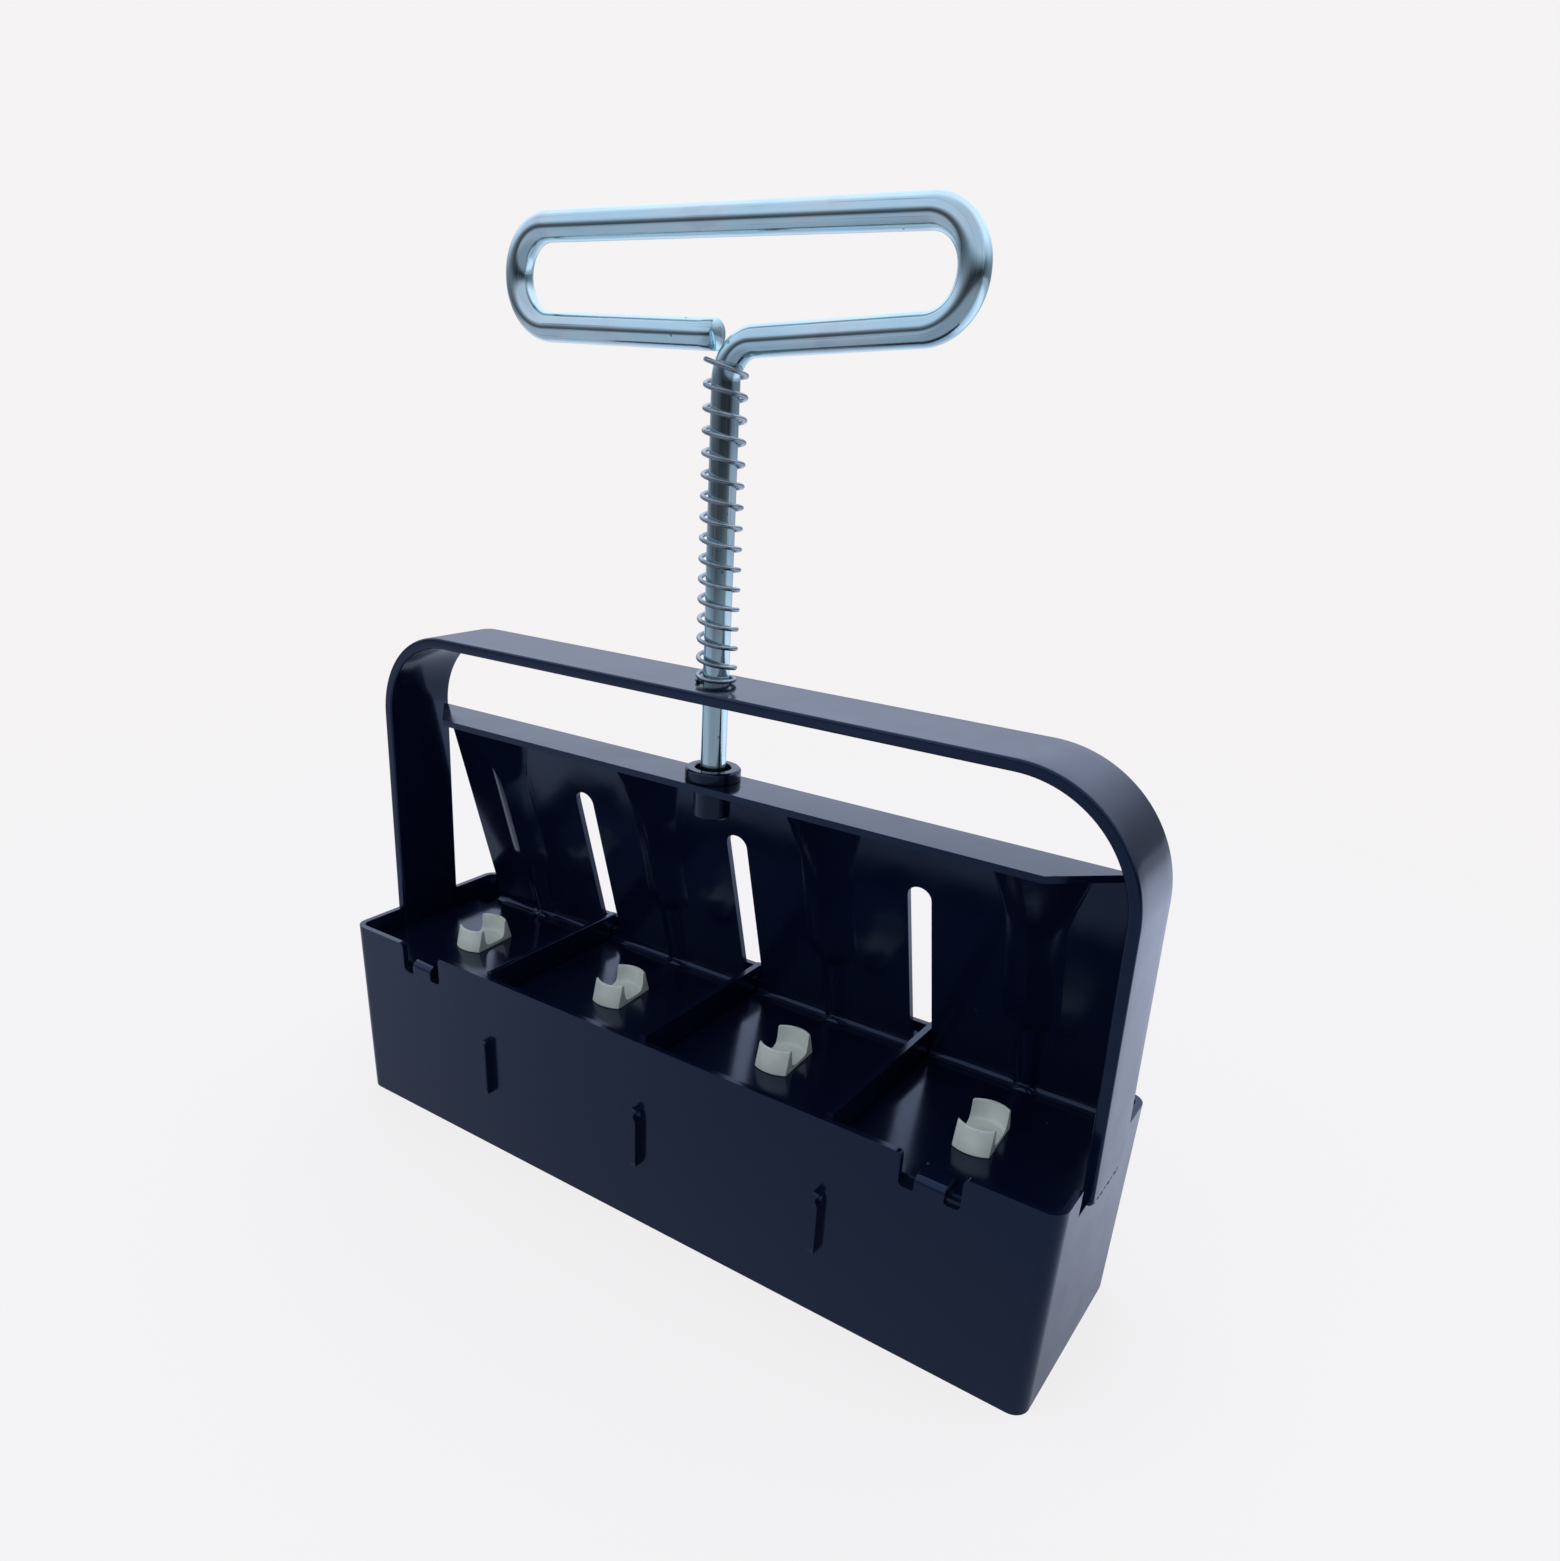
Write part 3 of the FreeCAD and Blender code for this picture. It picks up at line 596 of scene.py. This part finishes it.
def make_seed_pin(number, x):
    """Snap-in pin.  Dibble, flange and neck are turned.  The head is a turned bowl cut away at two sides: its
    profile is carried from one flat side to the other, and at the distance t from the middle a profile point
    of radius r lies at the width sqrt(r * r - t * t).  Points with r below t gather on the middle line."""
    z, u = FOOT_TOP, FOOT_UNDER
    turned = [(0.001, u - 12.2), (2.2, u - 12.2), (3.3, u - 11.9), (3.9, u - 11.1), (4.3, u - 9.8),
              (6.0, u - 1.2), (8.7, u - 1.2), (9.0, u - 0.9), (9.0, u - 0.3), (8.7, u), (4.3, u),
              (4.3, z + 0.02), (0.001, z + 0.02)]
    verts, faces = lathe(turned, 72)
    wall = [(7.95, 0), (8.1, 0.15), (8.1, 0.4), (7.35, 3.2), (6.68, 5.85), (6.5, 6.0), (6.15, 6.0),
            (6.02, 5.85)]
    bowl = [(5.85, 3.2), (5.6, 1.9), (5.3, 1.35), (4.7, 1.0), (1.0, 1.0)]
    half = np.array(wall + bowl)
    t = np.linspace(-4.3, 4.3, 15)[:, None]
    radius = np.maximum(half[:, 0], np.abs(t))
    height = np.where(half[:, 0] < radius, np.interp(radius, *np.array(bowl[::-1]).T), half[:, 1])
    width = np.sqrt(radius * radius - t * t)
    width = np.concatenate([width, -width[:, ::-1]], 1)
    height = z + np.concatenate([height, height[:, ::-1]], 1)
    r = np.concatenate([half[:, 0], half[::-1, 0]])
    head = np.stack([t + 0 * width, width, height], -1).reshape(-1, 3)
    ring = len(r)
    sides = grid_faces(len(t), ring, close_columns=True)[:, ::-1] + len(verts)
    first = len(verts) + np.arange(ring)
    caps = [first.tolist(), (first + (len(t) - 1) * ring)[::-1].tolist()]
    verts = np.concatenate([verts, head])
    turn = math.radians(PIN_TURN)
    cos, sin = math.cos(turn), math.sin(turn)
    verts[:, :2] = verts[:, :2] @ np.array([[cos, sin], [-sin, cos]])
    pin = finish_mesh("nylon_pin_%d" % number, verts + [x, PIN_Y, 0], faces.tolist() + sides.tolist() + caps)
    merge_points(pin.data, 0.005, outward=True)
    round_rims(pin, 0.1, angle=32, segments=2)
    return pin


def make_weld(side, name):
    """Weld bead under a foot: a round run with a crease above it, whose thickness ripples along the run."""
    y = np.linspace(-9.7, 9.7, 100)
    t = np.linspace(-1.25, np.pi / 2, 9)
    swell = 0.97 + 0.07 * np.sin(y * 2.9) + 0.06 * np.sin(y * 1.3 + 1)
    ends = np.sqrt(np.clip(1 - (np.abs(y) / 9.75) ** 8, 0.05, 1))
    size = (swell * ends)[:, None]
    x = HALF_X + 1.1 * np.cos(t) * np.minimum(size, 1.07)
    z = SEAT - 0.62 - 0.72 * np.sin(t) * np.minimum(size, 1.0)
    root = np.stack([np.full(len(y), HALF_X - 0.02), y, np.full(len(y), SEAT)], -1)[:, None]
    skin = np.stack([x, np.broadcast_to(y[:, None], x.shape), z], -1)
    verts = np.concatenate([root, skin], 1)
    verts[..., 0] *= side
    faces = grid_faces(len(y), 10, close_columns=True)
    caps = [list(range(9, -1, -1)), list(range((len(y) - 1) * 10, len(y) * 10))]
    return finish_mesh(name, verts.reshape(-1, 3), faces.tolist() + caps)


# ================================================================ finishes
def linear(code):
    """sRGB hex colour to linear red, green, blue and alpha."""
    values = [int(code[i:i + 2], 16) / 255 for i in (1, 3, 5)]
    return [v / 12.92 if v <= 0.04045 else ((v + 0.055) / 1.055) ** 2.4 for v in values] + [1.0]


def add(tree, kind, links=(), **settings):
    """Adds a node; settings are its properties or inputs, links are (output socket, input name or number)."""
    node = tree.nodes.new("ShaderNode" + kind)
    for key, value in settings.items():
        if hasattr(node, key):
            setattr(node, key, value)
        else:
            node.inputs[int(key[1:]) if key[1:].isdigit() else key.replace("_", " ")].default_value = value
    for socket, target in links:
        tree.links.new(socket, node.inputs[target])
    return node


def feed(tree, shader, **values):
    """Joins sockets to the shader's inputs of those names, or writes plain values into them."""
    for key, value in values.items():
        target = shader.inputs[key.replace("_", " ")]
        if isinstance(value, bpy.types.NodeSocket):
            tree.links.new(value, target)
        else:
            target.default_value = value


def remap(tree, socket, low, high, to_low, to_high, kind="SMOOTHSTEP"):
    """A value that runs from to_low to to_high while the socket runs from low to high."""
    node = add(tree, "MapRange", [(socket, "Value")], interpolation_type=kind)
    feed(tree, node, From_Min=low, From_Max=high, To_Min=to_low, To_Max=to_high)
    return node.outputs["Result"]


def combine(tree, *sockets, kind="ADD"):
    """The sum, product, difference or maximum of several values."""
    result = sockets[0]
    for socket in sockets[1:]:
        result = add(tree, "Math", [(result, 0), (socket, 1)], operation=kind).outputs[0]
    return result


def specks(tree, where, scale, bare, reach):
    """A mask of small round specks, one in the middle of a cell of a cell pattern: bare is the share of cells
    without one, and reach the radius of a speck over the size of a cell."""
    cells = add(tree, "TexVoronoi", [(where, "Vector")], Scale=scale)
    drawn = add(tree, "SeparateColor", [(cells.outputs["Color"], 0)]).outputs[0]
    picked = add(tree, "Math", [(drawn, 0)], operation="GREATER_THAN", i1=bare).outputs[0]
    close = add(tree, "Math", [(cells.outputs["Distance"], 0)], operation="LESS_THAN", i1=reach).outputs[0]
    return combine(tree, picked, close, kind="MULTIPLY")


def new_finish(name):
    material = bpy.data.materials.new(name)
    material.use_nodes = True
    tree = material.node_tree
    tree.nodes.clear()
    shader = add(tree, "BsdfPrincipled")
    out = add(tree, "OutputMaterial", [(shader.outputs[0], "Surface")])
    return material, tree, shader, out


def ramp(tree, socket, stops):
    """A colour ramp: stops are (position, grey or hex colour)."""
    node = add(tree, "ValToRGB", [(socket, "Fac")])
    band = node.color_ramp
    while len(band.elements) < len(stops):
        band.elements.new(0.5)
    for element, (where, tone) in zip(band.elements, stops):
        element.position = where
        element.color = linear(tone) if isinstance(tone, str) else (tone, tone, tone, 1)
    return node.outputs["Color"]


def powder_coat(name, colour, gloss, tint):
    """Polyester powder coat on steel, sprayed and baked: a deep even black with a wet gloss and a faint
    orange peel, and a speck of dust here and there."""
    material, tree, shader, _ = new_finish(name)
    where = add(tree, "TexCoord").outputs["Object"]
    # orange peel: waves about 1.6 mm long, and a slower unevenness about 12 mm long
    peel = add(tree, "TexNoise", [(where, "Vector")], Scale=620.0, Detail=1.5, Roughness=0.5)
    slow = add(tree, "TexNoise", [(where, "Vector")], Scale=85.0, Detail=2.0, Roughness=0.5)
    # dust: rare grains up to 0.4 mm across, roughly one in a hundred square centimetres
    dust = specks(tree, where, 260.0, 0.985, 0.055)
    base = add(tree, "Mix", [(dust, "Factor")], data_type="RGBA")
    base.inputs["A"].default_value = linear(colour)
    base.inputs["B"].default_value = linear("#3a4050")
    rough = remap(tree, slow.outputs["Fac"], 0.35, 0.65, gloss - 0.03, gloss + 0.04, kind="LINEAR")
    both = combine(tree, peel.outputs["Fac"], slow.outputs["Fac"])
    bump = add(tree, "Bump", [(both, "Height")], Strength=0.05, Distance=0.00012)
    feed(tree, shader, Base_Color=base.outputs["Result"], Roughness=rough, Normal=bump.outputs["Normal"],
         IOR=1.56, Specular_Tint=linear(tint))
    return material


def zinc_plate():
    """Bright blue-passivated zinc plate on drawn mild steel bar: mirror-like, with fine drawing lines along
    the bar, faint blue-green passivate clouds and small dark plating spots."""
    material, tree, shader, _ = new_finish("bright zinc plate on drawn bar")
    uv = add(tree, "UVMap", uv_map="length").outputs["UV"]
    where = add(tree, "TexCoord").outputs["Object"]
    # drawing lines: 0.25 mm apart round the bar and 40 mm long
    drawing = add(tree, "Mapping", [(uv, "Vector")], Scale=(0.025, 4.0, 1.0)).outputs[0]
    lines = add(tree, "TexNoise", [(drawing, "Vector")], Scale=1.0, Detail=3.0, Roughness=0.6)
    cloud = add(tree, "TexNoise", [(where, "Vector")], Scale=70.0, Detail=3.0, Roughness=0.55)
    tone = ramp(tree, cloud.outputs["Fac"], [(0.3, "#bfdce0"), (0.5, "#c6e3e6"), (0.62, "#cfe1e0"),
                                             (0.75, "#bed1dc")])
    spots = specks(tree, where, 420.0, 0.93, 0.16)
    fade = add(tree, "Math", [(spots, 0)], operation="MULTIPLY", i1=0.6)
    base = add(tree, "Mix", [(fade.outputs[0], "Factor"), (tone, "A")], data_type="RGBA")
    base.inputs["B"].default_value = linear("#4c5357")
    # scratches: a few of the drawing lines are deep and dark
    streak = ramp(tree, lines.outputs["Fac"], [(0.33, 0.45), (0.4, 1.0)])
    drawn = add(tree, "Mix", [(base.outputs["Result"], "A"), (streak, "B")], data_type="RGBA",
                blend_type="MULTIPLY")
    drawn.inputs["Factor"].default_value = 0.8
    rough = remap(tree, lines.outputs["Fac"], 0.3, 0.7, 0.07, 0.2, kind="LINEAR")
    bump = add(tree, "Bump", [(lines.outputs["Fac"], "Height")], Strength=0.12, Distance=0.00005)
    feed(tree, shader, Base_Color=drawn.outputs["Result"], Roughness=rough, Normal=bump.outputs["Normal"],
         Metallic=1.0)
    return material


def spring_wire():
    """Patented carbon-steel spring wire, drawn and left bright: smooth grey metal with duller bands."""
    material, tree, shader, _ = new_finish("bright drawn spring wire")
    where = add(tree, "TexCoord").outputs["Object"]
    band = add(tree, "TexNoise", [(where, "Vector")], Scale=240.0, Detail=2.0, Roughness=0.5)
    tone = ramp(tree, band.outputs["Fac"], [(0.35, "#868f92"), (0.65, "#aeb6b8")])
    rough = remap(tree, band.outputs["Fac"], 0.0, 1.0, 0.16, 0.34, kind="LINEAR")
    feed(tree, shader, Base_Color=tone, Roughness=rough, Metallic=1.0)
    return material


def nylon():
    """Natural polyamide 6, injection moulded: waxy off-white with a green cast, a little translucent."""
    material, tree, shader, _ = new_finish("moulded natural nylon")
    where = add(tree, "TexCoord").outputs["Object"]
    flow = add(tree, "TexNoise", [(where, "Vector")], Scale=160.0, Detail=3.0, Roughness=0.5)
    tone = ramp(tree, flow.outputs["Fac"], [(0.3, "#b9c0b4"), (0.7, "#cdd2c6")])
    # moulded skin: grain about 0.4 mm
    grain = add(tree, "TexNoise", [(where, "Vector")], Scale=2500.0, Detail=1.0, Roughness=0.5)
    bump = add(tree, "Bump", [(grain.outputs["Fac"], "Height")], Strength=0.08, Distance=0.0001)
    feed(tree, shader, Base_Color=tone, Normal=bump.outputs["Normal"], Roughness=0.42, IOR=1.53,
         Subsurface_Weight=0.12, Subsurface_Radius=(1.0, 1.0, 0.8), Subsurface_Scale=0.0012)
    return material


coat = powder_coat("glossy black powder coat", "#050c1f", 0.15, "#bcd8ff")
hub_coat = powder_coat("satin black lacquer", "#060b18", 0.18, "#c4dcff")
zinc = zinc_plate()
wire = spring_wire()
nylon_skin = nylon()


# ================================================================ the object
def place(piece, finish, body, slot, *nodes):
    piece.data.materials.append(finish)
    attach(piece, body)
    if nodes:
        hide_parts(*nodes)
    return piece


place(make_mould_box(), coat, "frame", "black_coat", "mould_box")
for number, x in enumerate(DIVIDERS, 1):
    place(make_divider(number, x), coat, "frame", "black_coat", "divider_%d" % number)
place(make_arch(), coat, "frame", "black_coat", "arch_bar")
place(make_weld(-1, "foot_weld_left"), coat, "frame", "black_coat", "weld_bead_left")
place(make_weld(1, "foot_weld_right"), coat, "frame", "black_coat", "weld_bead_right")
place(make_ejector(), coat, "plunger", "black_coat", "ejector")
place(make_hub(), hub_coat, "plunger", "hub_black", "hub")
place(make_rod(), zinc, "plunger", "zinc_rod", "rod_handle")
for number, x in enumerate(CELLS, 1):
    place(make_seed_pin(number, x), nylon_skin, "plunger", "pale_nylon", "seed_pin_%d" % number)
spring = place(make_spring(), wire, "frame", "spring_steel", "spring")
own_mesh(spring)


# ================================================================ floor, light and camera
WHITE = linear("#f5f3f3")
COOL = (0.80, 0.88, 1.12, 1.0)         # light of a cool studio tube


def make_floor():
    """Pale seamless floor.  The camera sees it as the even backdrop with a faint shadow.  Reflections see the
    same cool light as in the world, dimmer before the object than behind it."""
    s = 6000.0                         # half the side of the floor
    floor = finish_mesh("studio_floor", [(-s, -s, 0), (s, -s, 0), (s, s, 0), (-s, s, 0)], [(0, 1, 2, 3)])
    material, tree, shader, out = new_finish("pale seamless paper")
    feed(tree, shader, Base_Color=WHITE, Roughness=0.9, Specular_IOR_Level=0.1)
    where = add(tree, "TexCoord").outputs["Object"]
    parts = add(tree, "SeparateXYZ", [(where, 0)])
    rays = add(tree, "LightPath")
    far = add(tree, "VectorMath", [(where, 0)], operation="LENGTH").outputs["Value"]
    left = remap(tree, parts.outputs["X"], -0.22, 0.0, 0.57, 0.385)
    near = remap(tree, parts.outputs["Y"], -1.4, -0.45, 0.3, 1.0)
    before = combine(tree, left, near, kind="MULTIPLY")
    behind = remap(tree, parts.outputs["Y"], -0.02, 0.3, 0.0, 0.45)
    beside = combine(tree, remap(tree, parts.outputs["X"], 0.08, 0.13, 0.0, 1.0),
                   remap(tree, parts.outputs["Y"], -0.05, 0.07, 0.0, 0.38), kind="MULTIPLY")
    level = combine(tree, combine(tree, before, behind, beside), remap(tree, far, 0.5, 1.5, 1.0, 0.45),
                  kind="MULTIPLY")
    mirrored = add(tree, "Emission", [(level, "Strength")], Color=COOL)
    glow = add(tree, "Emission", Strength=1.0, Color=WHITE)
    shiny = combine(tree, rays.outputs["Is Glossy Ray"], rays.outputs["Is Transmission Ray"], kind="MAXIMUM")
    seen = combine(tree, rays.outputs["Is Camera Ray"], remap(tree, far, 0.25, 0.7, 0.88, 1.0),
                   kind="MULTIPLY")
    lit = add(tree, "MixShader", [(shiny, 0), (shader.outputs[0], 1), (mirrored.outputs[0], 2)])
    mix = add(tree, "MixShader", [(seen, 0), (lit.outputs[0], 1), (glow.outputs[0], 2)])
    tree.links.new(mix.outputs[0], out.inputs["Surface"])
    floor.data.materials.append(material)


def make_world():
    """Even pale backdrop to the camera.  Reflections see a bright wall behind the object, dimmer towards the
    right and near the floor, a light above and a weak one at the left, and a dim room before the object."""
    world = bpy.data.worlds.new("studio")
    bpy.context.scene.world = world
    world.use_nodes = True
    tree = world.node_tree
    tree.nodes.clear()
    parts = add(tree, "SeparateXYZ", [(add(tree, "TexCoord").outputs["Generated"], 0)])
    rays = add(tree, "LightPath")
    back = remap(tree, parts.outputs["Y"], -0.4, 0.95, 0.1, 0.97)
    away = remap(tree, parts.outputs["X"], -0.15, 0.3, 1.0, 0.45)
    low = remap(tree, parts.outputs["Z"], -0.02, 0.34, 0.5, 1.0)
    high = remap(tree, parts.outputs["Z"], 0.15, 0.4, 0.0, 0.5)
    above = combine(tree, parts.outputs["Z"], remap(tree, parts.outputs["Y"], -0.1, 0.3, 0.0, 0.3),
                  kind="SUBTRACT")
    top = remap(tree, above, 0.03, 0.4, 0.0, 0.66)
    left = remap(tree, parts.outputs["X"], -0.9, 0.1, 0.12, 0.0)
    rear = combine(tree, combine(tree, back, away, low, kind="MULTIPLY"),
                 combine(tree, remap(tree, parts.outputs["Y"], -0.2, 0.5, 0.0, 1.0), high, kind="MULTIPLY"))
    level = add(tree, "Math", [(combine(tree, rear, top, left), 0)], operation="MINIMUM", i1=1.3)
    mirrored = add(tree, "Background", [(level.outputs[0], "Strength")], Color=COOL)
    soft = add(tree, "Background", Strength=0.75, Color=COOL)
    plain = add(tree, "Background", Strength=1.0, Color=WHITE)
    shiny = combine(tree, rays.outputs["Is Glossy Ray"], rays.outputs["Is Transmission Ray"], kind="MAXIMUM")
    lit = add(tree, "MixShader", [(shiny, 0), (soft.outputs[0], 1), (mirrored.outputs[0], 2)])
    mix = add(tree, "MixShader", [(rays.outputs["Is Camera Ray"], 0), (lit.outputs[0], 1),
                                  (plain.outputs[0], 2)])
    add(tree, "OutputWorld", [(mix.outputs[0], "Surface")])


def softbox(name, at, towards, size, power):
    """A square lamp that only gives soft light: neither the camera nor a reflection sees it."""
    lamp = bpy.data.lights.new(name, "AREA")
    lamp.shape = "RECTANGLE"
    lamp.size, lamp.size_y = size
    lamp.energy = power
    holder = bpy.data.objects.new(name, lamp)
    bpy.context.scene.collection.objects.link(holder)
    holder.visible_camera = False
    holder.visible_glossy = False
    at, towards = Vector(at), Vector(towards)
    turn = (towards - at).to_track_quat("-Z", "Y").to_matrix().to_4x4()
    holder.matrix_world = Matrix.Translation(at) @ turn


def make_camera():
    """Camera at azimuth 33.7 and elevation 25.2 degrees, turned by its roll about the line of sight."""
    az, el, roll, distance = 0.58834, 0.43945, 0.046863, 272.86
    focal, centre_x, centre_y, width, height = 1113.6, 740.5, 934.0, 1560.0, 1561.0
    target, sensor = Vector((9.898, 0.0, 75.726)), 36.0
    back = Vector((math.sin(az) * math.cos(el), -math.cos(az) * math.cos(el), math.sin(el)))
    right = (-back).cross(Vector((0, 0, 1))).normalized()
    up = right.cross(-back)
    side = right * math.cos(roll) + up * math.sin(roll)
    head = up * math.cos(roll) - right * math.sin(roll)
    lens = bpy.data.cameras.new("camera")
    lens.sensor_width = sensor
    lens.lens = focal * sensor / height
    lens.shift_x = (width / 2 - centre_x) / height
    lens.shift_y = (centre_y - height / 2) / height
    lens.clip_start, lens.clip_end = 0.01, 50.0
    camera = bpy.data.objects.new("camera", lens)
    bpy.context.scene.collection.objects.link(camera)
    turn = Matrix((side, head, back)).transposed().to_4x4()
    camera.matrix_world = Matrix.Translation((target + back * distance) * MM) @ turn
    bpy.context.scene.camera = camera


make_floor()
make_world()
softbox("overhead", (0.1, 0.25, 1.6), (0, 0, 0.1), (2.0, 2.0), 11.0)
softbox("front fill", (-0.5, -0.9, 0.7), (0, 0, 0.06), (0.8, 0.8), 2.4)
make_camera()
bpy.context.scene.view_settings.view_transform = "Standard"
